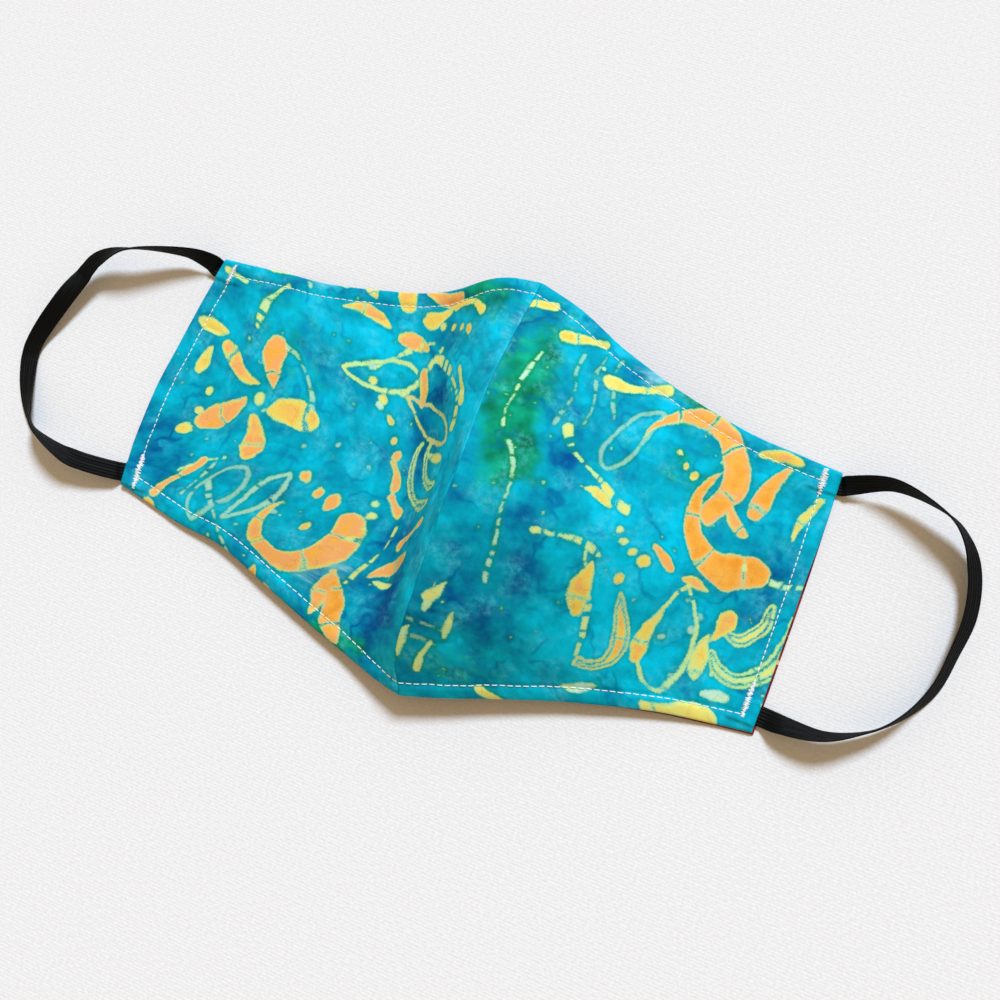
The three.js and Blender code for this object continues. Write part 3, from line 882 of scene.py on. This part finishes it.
# Where the dye runs, and where light and shade are painted onto it: its kind, its centre from the seam and
# towards the nose, its half-widths, and how strongly, in millimetres on the flat cloth. The rows marked below
# are painted shade, painted light and a painted highlight; the others are dye.
zone_kinds = ("deep_dye_and_painted_shade", "bright_dye_and_painted_light", "green", "pale")
left_zones = (
    ("deep_dye_and_painted_shade", 132, -26, 12, 16, 0.9),
    ("deep_dye_and_painted_shade", 38, 20, 9, 42, 0.8),
    # Painted shade: these two darken the ridge's left flank near the chin, which lies in the ridge's shade
    ("deep_dye_and_painted_shade", 30, -38, 10, 26, 0.6),
    ("deep_dye_and_painted_shade", 16, -50, 9, 30, 0.8),
    ("deep_dye_and_painted_shade", 82, 58, 30, 8, 0.4),
    ("deep_dye_and_painted_shade", 60, -66, 40, 9, 0.5),
    # Painted light: these two lighten the panel beyond the valley and the ridge's left flank, towards the
    # nose, where they face the lamp
    ("bright_dye_and_painted_light", 62, 40, 14, 14, 0.8),
    ("bright_dye_and_painted_light", 14, 20, 14, 30, 0.7),
    ("bright_dye_and_painted_light", 105, -14, 40, 9, 0.25),
    ("green", 96, 27, 26, 20, 0.25),
    ("green", 20, 64, 16, 8, 0.7),
    ("green", 32, -66, 18, 7, 0.7),
    ("pale", 47, -40, 14, 16, 0.9),
    ("pale", 90, 52, 12, 5, 0.9),
    ("pale", 84, -50, 26, 6, 0.4),
    # Painted highlight: a pale streak along the ridge crest towards the nose
    ("pale", 2, 60, 5, 20, 0.8),
)
right_zones = (
    ("deep_dye_and_painted_shade", 7, -40, 9, 26, 0.6),
    ("deep_dye_and_painted_shade", 26, -10, 10, 26, 0.5),
    ("deep_dye_and_painted_shade", 112, 0, 9, 14, 0.8),
    ("deep_dye_and_painted_shade", 26, -44, 12, 10, 0.6),
    ("deep_dye_and_painted_shade", 34, 20, 8, 16, 0.5),
    ("deep_dye_and_painted_shade", 5, 60, 8, 12, 0.5),
    # Painted light: a lighter patch in the middle of the right panel, where it faces the lamp
    ("bright_dye_and_painted_light", 62, -22, 22, 34, 1),
    ("bright_dye_and_painted_light", 86, -42, 26, 12, 0.5),
    ("bright_dye_and_painted_light", 50, 8, 16, 12, 0.3),
    ("green", 9, 40, 10, 26, 0.8),
    ("green", 14, 14, 9, 12, 0.8),
    ("green", 70, 56, 16, 6, 0.7),
    ("green", 76, 30, 22, 16, 0.3),
    ("green", 16, -62, 26, 9, 0.35),
    ("pale", 54, 56, 12, 9, 1),
    ("pale", 44, 66, 10, 6, 0.6),
    ("pale", 100, 22, 16, 12, 0.5),
    ("pale", 62, 30, 10, 8, 0.3),
)
# A shift moves all the motifs of a half away from the seam by so many millimetres
panel_prints = {
    "left": {"motifs": left_motifs, "zones": left_zones, "shift": 14},
    "right": {"motifs": right_motifs, "zones": right_zones, "shift": -12},
}
spine_steps = 22
line_width = 1.5
inline_width = 0.6
inline_depth = 1.25
break_width = 0.45
fleck_count = 90


def spine(kind, from_seam, along, heading, length, width, bend):
    """Points along a motif's middle, and its half width at each"""
    t = np.linspace(0, 1, spine_steps)
    turned = bend * (t ** 1.6 if kind == "curl" else t)
    angle = np.radians(heading + turned)
    step = length / (spine_steps - 1)
    ahead = np.cumsum(np.stack([np.cos(angle), np.sin(angle)], -1)[:-1] * step, axis=0)
    points = np.array([from_seam, along]) + np.vstack([[0, 0], ahead])
    shapes = {
        "stroke": 0.75 + 0.25 * np.sin(4 * t + from_seam),
        "curl": 0.55 + 0.5 * np.sin(np.pi * t ** 0.7) + 0.15 * np.sin(9 * t + along),
        "leaf": np.sin(np.pi * t ** 0.8) ** 0.75,
        "ring": np.sin(np.pi * t ** 0.8) ** 0.75,
        "drop": (0.7 + 0.38 * smooth(t / 0.2)) * (1 - t) ** 0.65,
        "line": 0.75 + 0.35 * np.sin(7 * t + along),
        "dot": 0 * t + 1,
    }
    slim = 1 if kind in ("line", "ring", "dot") else 0.9
    return points, shapes[kind] * slim * width / 2


def motif_distance(kind, length, points, half_widths, where, number):
    """Signed distance to one motif, negative inside, from places on the flat cloth"""
    best = np.full(len(where), 1e3)
    at = np.zeros(len(where))
    for k in range(spine_steps - 1):
        leg = points[k + 1] - points[k]
        t = np.clip((where - points[k]) @ leg / max(leg @ leg, 1e-9), 0, 1)
        gap = np.linalg.norm(where - points[k] - t[:, None] * leg, axis=1)
        gap = gap - (half_widths[k] * (1 - t) + half_widths[k + 1] * t)
        nearer = gap < best
        best[nearer] = gap[nearer]
        at[nearer] = (k + t[nearer]) / (spine_steps - 1)
    if kind == "ring":
        best = np.abs(best + line_width / 2) - line_width / 2
    if kind == "curl":
        best = np.maximum(best, inline_width / 2 - np.abs(best + inline_depth))
    spacing = {"line": 4.6, "ring": 9, "curl": 19}.get(kind, 15)
    chance = np.random.default_rng(1000 + number)
    for k in range(1, int(length / spacing) + 1):
        place_on = (k - 0.5 + chance.uniform(-0.35, 0.35)) * spacing
        wide = break_width * (chance.uniform(0.5, 2.4) if kind == "line" else chance.uniform(0.2, 0.8))
        best = np.maximum(best, wide - np.abs(at * length - place_on))
    return best


def print_on(side, grid):
    """The print at each point of a panel: distance to the nearest motif, its tone, and the zones of dye and
    of painted light and shade
    """
    from_seam, along = grid["from_seam"].ravel() / mm, grid["along_cloth"].ravel() / mm
    where = np.stack([from_seam, along], -1)
    for size, swing, seed in ((15, 1.9, 20), (5, 0.5, 22), (1.8, 0.25, 24)):
        where[:, 0] += swing * cloudy(from_seam, along, size, seed)
        where[:, 1] += swing * cloudy(from_seam, along, size, seed + 1)
    distance = np.full(len(where), 9.0)
    tone = np.full(len(where), 0.5)
    chance = np.random.default_rng(31 if side == "left" else 32)
    flecks = []
    for _ in range(fleck_count):
        x, y = chance.uniform(2, 140), chance.uniform(-75, 75)
        flecks.append(("dot", x, y, 0, 0, 0.6 + 1.3 * chance.uniform() ** 3, 0, chance.uniform(0.8, 1.1)))
    for number, (kind, *shape, motif_tone) in enumerate(panel_prints[side]["motifs"] + flecks):
        points, half_widths = spine(kind, *shape)
        # The tables measure towards the chin, and the cloth's own coordinates run towards the nose
        points = points * (1, -1) + (panel_prints[side]["shift"], 0)
        length, width = shape[3:5]
        near = np.linalg.norm(where - points.mean(axis=0), axis=1) < length / 2 + width + 6
        gap = motif_distance(kind, length, points, half_widths, where[near], number)
        nearer = gap < distance[near]
        hit = np.flatnonzero(near)[nearer]
        distance[hit] = gap[nearer]
        tone[hit] = motif_tone
    values = {"motif": distance, "tone": tone} | {kind: 0 * tone for kind in zone_kinds}
    for kind, x, y, wide, high, strength in panel_prints[side]["zones"]:
        off = ((where[:, 0] - x) / wide) ** 2 + ((where[:, 1] - y) / high) ** 2
        values[kind] += strength * np.exp(-off)
    return values


print_material, tree, shader = material("printed_cotton_batik")
place = cloth_place()
ragged = scaled(math_node("SUBTRACT", noise(1.1, 3), 0.5), 0.9, attribute("motif"))
ragged = scaled(math_node("SUBTRACT", noise(0.45, 2), 0.5), 0.8, ragged)
faint = smooth_range(attribute("tone"), 0.78, 1)
inside = smooth_range(ragged, 0.3, -0.3)
inside = math_node("MULTIPLY", inside, scaled(faint, -0.5, 1))
core = smooth_range(ragged, -0.1, -0.9)
halo = smooth_range(ragged, 1.6, 0.15)

# The dyed ground: cloudy turquoise, from dark blue to light cyan, with painted shade and painted light from
# the zones
clouds = noise(15, 5, 0.6)
# Painted shade darkens and painted light lightens the ground here, through the same zones as the darker and
# lighter dye
clouds = scaled(attribute("deep_dye_and_painted_shade"), -0.24, clouds)
clouds = scaled(attribute("bright_dye_and_painted_light"), 0.17, clouds)
ground = ramp(
    clouds,
    (0.2, colour(0, 84, 144)),
    (0.35, colour(0, 132, 168)),
    (0.5, colour(0, 166, 190)),
    (0.66, colour(0, 196, 226)),
)
greens = ramp(noise(9, 4), (0.35, colour(0, 112, 70)), (0.65, colour(10, 172, 132)))
green_share = smooth_range(math_node("ADD", attribute("green"), noise(6, 4)), 0.62, 1.15)
ground = mixed(green_share, ground, greens)
streak_place = node(tree, "ShaderNodeMapping", Vector=place, Rotation=(0, 0, 0.7), Scale=(0.3, 1.6, 1))
streaks = noise(3.5, 5, 0.65, streak_place.outputs[0])
pale_share = smooth_range(math_node("MULTIPLY", attribute("pale"), streaks), 0.3, 0.72)
ground = mixed(pale_share, ground, colour(160, 218, 222))
frost = smooth_range(noise(2, 4, 0.65), 0.36, 0.7)
frost = math_node("MULTIPLY", frost, smooth_range(noise(12, 2), 0.48, 0.68))
ground = mixed(math_node("MULTIPLY", frost, 0.4), ground, colour(96, 212, 232))
ground = mixed(0.8, ground, scaled(noise(3, 4, 0.65), 0.7, 0.63), "MULTIPLY")
vein = math_node("ABSOLUTE", math_node("SUBTRACT", noise(24, 3, 0.55), 0.5))
vein_share = math_node("MULTIPLY", smooth_range(vein, 0.035, 0), smooth_range(noise(11, 1), 0.42, 0.6))
vein_depth = scaled(attribute("deep_dye_and_painted_shade"), 0.5, 0.36, clamp=True)
ground = mixed(math_node("MULTIPLY", vein_share, vein_depth), ground, colour(0, 74, 146))
green_rim = scaled(smooth_range(noise(13, 2), 0.45, 0.6), 0.5, attribute("green"))
halo_share = math_node("MULTIPLY", halo, scaled(green_rim, 0.55, 0.24), clamp=True)
ground = mixed(halo_share, ground, colour(0, 136, 84))

# The motifs: orange and yellow, yellower near their pale green rim, with fine dark cracks
near_rim = smooth_range(ragged, -2.2, -0.5)
shade = scaled(math_node("SUBTRACT", noise(7, 3), 0.5), 0.55, attribute("tone"))
shade = scaled(near_rim, 0.14, shade)
fill = ramp(
    shade,
    (0.02, colour(240, 154, 48)),
    (0.16, colour(246, 178, 72)),
    (0.28, colour(243, 170, 106)),
    (0.46, colour(240, 206, 86)),
    (0.68, colour(226, 226, 126)),
    (0.86, colour(200, 230, 160)),
    (1, colour(196, 236, 226)),
)
rim = mixed(0.72, fill, colour(158, 226, 160))
filled = mixed(core, rim, fill)
bent_place = node(tree, "ShaderNodeVectorMath", {"operation": "MULTIPLY_ADD"},
                  _0=node(tree, "ShaderNodeTexNoise", Vector=place, Scale=0.25).outputs["Color"],
                  _1=(6, 6, 6), _2=place).outputs[0]
cracks = node(tree, "ShaderNodeTexVoronoi", {"feature": "DISTANCE_TO_EDGE"}, Vector=bent_place, Scale=0.11)
crack_share = math_node("MULTIPLY", smooth_range(cracks.outputs["Distance"], 0.022, 0.004), noise(5, 2))
filled = mixed(math_node("MULTIPLY", crack_share, 0.55), filled, colour(176, 138, 66))
coloured(grained(mixed(inside, ground, filled)), 0.8, 0.06)
weave_bump(0.36, 0.35, 0.05 * mm)

for side, grid in outer_grids.items():
    under, top = outer_heights(grid)
    grid["top"] = risen(grid, top)
    piece = closed_sheet(f"outer_panel_{side}_cloth", grid, risen(grid, under), grid["top"])
    for name, values in print_on(side, grid).items():
        piece.data.attributes.new(name, "FLOAT", "POINT").data.foreach_set("value", np.tile(values, 2))
    piece.data.materials.append(print_material)
    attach(piece, "root")
    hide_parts(f"outer_panel_{side}")

# Top stitching
# A lockstitch in white thread runs round the outline, a little way in from the edge, through both layers. Its
# needle thread shows on the printed side and its bobbin thread on the lining.
thread_radius = 0.19 * mm
thread_sides = 6
side_pitch = 2.05 * mm
edge_pitch = 2.6 * mm
stitch_share = 0.78
search_reach = 80


def line_at(grid, surface, name, inset, end_inset):
    """The points and the facing of a surface at a distance from one of its free edges, and from the others"""
    steps = grid["to_" + name]
    if name == "side":
        steps = steps.T
    if name == "nose":
        steps = steps[::-1]
    number = np.arange(search_reach)
    places = np.array([np.interp(inset, steps[:search_reach, k], number) for k in range(steps.shape[1])])

    def read(values):
        values = np.swapaxes(values, 0, 1) if name == "side" else values
        values = values[::-1] if name == "nose" else values
        low = np.floor(places).astype(int)
        share = (places - low).reshape(-1, *([1] * (values.ndim - 2)))
        across = np.arange(values.shape[1])
        return values[low, across] * (1 - share) + values[low + 1, across] * share

    others = [other for other in ("side", "chin", "nose") if other != name]
    kept = np.all([read(grid["to_" + other]) >= end_inset for other in others], axis=0)
    return read(surface)[kept], read(grid["facing"])[kept]


def tubes(paths, facings, radii):
    """Vertices and faces of closed round threads. Each path has the same number of points."""
    forward = unit(np.gradient(paths, axis=1))
    sideways = unit(np.cross(forward, facings))
    upward = np.cross(sideways, forward)
    angle = np.arange(thread_sides) * 2 * math.pi / thread_sides
    ring = sideways[:, :, None] * np.cos(angle)[:, None] + upward[:, :, None] * np.sin(angle)[:, None]
    points = paths[:, :, None] + ring * np.asarray(radii)[:, None, None]
    count, length = paths.shape[:2]
    index = np.arange(count * length * thread_sides).reshape(count, length, thread_sides)
    ahead = np.roll(index, -1, axis=2)
    quads = np.stack([index[:, :-1], index[:, 1:], ahead[:, 1:], ahead[:, :-1]], -1).reshape(-1, 4)
    caps = index[:, 0].tolist() + index[:, -1, ::-1].tolist()
    return points.reshape(-1, 3), quads.tolist() + caps


def sewn_stitches(points, facings, pitch):
    """Short threads along a line, each with both ends drawn down into the cloth"""
    lengths = lengths_along(points)
    count = int(lengths[-1] / pitch)
    starts = (np.arange(count) + (1 - stitch_share) / 2) * lengths[-1] / count
    at = starts[:, None] + np.array([0, 0.12, 0.5, 0.88, 1]) * pitch * stitch_share

    def read(values):
        return np.stack([np.interp(at, lengths, values[:, axis]) for axis in range(3)], -1)

    facing = read(facings)
    lift = np.array([-0.9, 0.35, 0.75, 0.35, -0.9]) * thread_radius
    return read(points) + facing * lift[:, None], facing


def thread_piece(name, parts):
    """One mesh of many threads"""
    points, faces, count = [], [], 0
    for part_points, part_faces in parts:
        points.append(part_points)
        faces += [[corner + count for corner in face] for face in part_faces]
        count += len(part_points)
    piece = mesh_object(name, np.concatenate(points), faces)
    piece.data.materials.append(thread_material)
    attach(piece, "root")


thread_material, tree, shader = material("white_thread")
place = node(tree, "ShaderNodeTexCoord").outputs["Object"]
fibres = ramp(noise(0.4 * mm), (0.3, colour(222, 236, 238)), (0.7, colour(252, 254, 254)))
coloured(fibres, 0.6, 0.5)
stitch_radii = np.array([0.55, 0.95, 1, 0.95, 0.55]) * thread_radius


def stitched(grid, layer, outward):
    """The threads of a seam round the free edges, on the top or the underside of a layer"""
    parts = []
    for name in ("side", "chin", "nose"):
        points, facings = line_at(grid, grid[layer], name, stitch_inset, stitch_inset)
        pitch = side_pitch if name == "side" else edge_pitch
        paths, facings = sewn_stitches(points, outward * facings, pitch)
        paths[..., 2] = np.maximum(paths[..., 2], thread_radius + 0.01 * mm)
        parts.append(tubes(paths, facings, stitch_radii))
    return parts


for side in halves:
    thread_piece(f"top_stitching_{side}", stitched(outer_grids[side], "top", 1))
    thread_piece(f"bobbin_stitching_{side}", stitched(lining_grids[side], "under", -1))

# Bar tacks
# Where each elastic is caught in the side hem, a dense zigzag of the same white thread locks it.
# Each has its two ends along the side hem, as distances from the middle, and its width.
tack_step = 0.3 * mm
tacks = (
    ("left", "upper", 37.5 * mm, 45 * mm, 1.8 * mm),
    ("left", "lower", -46 * mm, -33.5 * mm, 2.5 * mm),
    ("right", "upper", 36.8 * mm, 45.6 * mm, 2.7 * mm),
    ("right", "lower", -42.4 * mm, -30.5 * mm, 2.1 * mm),
)
for side, end, first, last, width in tacks:
    grid = outer_grids[side]
    count = int((last - first) / tack_step)
    y = mask_middle[1] + np.linspace(first, last, count)
    rows = []
    for inset in (stitch_inset - width / 2, stitch_inset + width / 2):
        points, facings = line_at(grid, grid["top"], "side", inset, 0.3 * mm)
        both = np.concatenate([points, facings], axis=1)
        order = np.argsort(points[:, 1])
        rows.append(np.stack([np.interp(y, points[order, 1], both[order, k]) for k in range(6)], -1))
    chance = np.random.default_rng(len(side) + count)
    near = np.stack(rows, axis=1)
    taper = np.sin(np.pi * np.linspace(0.06, 0.94, count))[:, None, None] ** 0.3
    ragged_ends = 1 - chance.uniform(0, 0.85, (count, 2, 1)) ** 2
    middle = near.mean(axis=1, keepdims=True)
    near = middle + (near - middle) * taper * ragged_ends
    near[:, :, 1] += chance.uniform(-0.14, 0.14, (count, 2)) * mm
    middle = near.mean(axis=1, keepdims=True)
    zigzag = np.concatenate([near[:, :1], middle, near[:, 1:]], axis=1)
    lift = np.array([0.1, 0.95, 0.1])[:, None] * thread_radius
    paths = zigzag[..., :3] + zigzag[..., 3:] * lift
    facing = zigzag[..., 3:]
    part = tubes(paths, facing, np.array([0.8, 1, 0.8]) * thread_radius)
    thread_piece(f"bar_tack_{side}_{end}", [part])

# Floor and light
# A plain near-white canvas under the mask, lit softly from the nose side.
bpy.ops.object.select_all(action="DESELECT")
bpy.ops.mesh.primitive_plane_add(size=4, location=(0, 0, 0))
floor = bpy.context.object
floor.name = "floor"
floor_material, tree, shader = material("pale_floor")
place = node(tree, "ShaderNodeTexCoord").outputs["Object"]
mottle = ramp(noise(mm / 0.9, 3), (0.3, colour(228, 226, 224)), (0.7, colour(239, 238, 237)))
coloured(mottle, 0.9, 0.1)
canvas = noise(mm / 1.5, 1)
for direction in ("X", "Y"):
    canvas = scaled(threads(direction, 1.1 * mm, 1.5), 0.4, canvas)
bumped(canvas, 0.4, 0.14 * mm)
floor.data.materials.append(floor_material)

key_data = bpy.data.lights.new("key", "SUN")
key_data.angle = math.radians(16)
key_data.energy = 3.83
key_data.color = (0.683, 0.826, 1)
key = bpy.data.objects.new("key", key_data)
key.location = (0.03, 0.8, 0.85)
key.rotation_euler = (Vector((0, 0, 0)) - key.location).to_track_quat("-Z", "Y").to_euler()
bpy.context.scene.collection.objects.link(key)

# The room round it: warm light from above, and a pale backdrop low down
world = bpy.data.worlds.new("room")
world.use_nodes = True
tree = world.node_tree
toward = node(tree, "ShaderNodeTexCoord").outputs["Generated"]
height = node(tree, "ShaderNodeSeparateXYZ", Vector=toward).outputs["Z"]
room = ramp(height, (0.3, (0.62, 0.6, 0.57, 1)), (0.55, (0.45, 0.302, 0.141, 1)))
tree.links.new(room, tree.nodes["Background"].inputs["Color"])
bpy.context.scene.world = world
bpy.context.scene.view_settings.view_transform = "Standard"
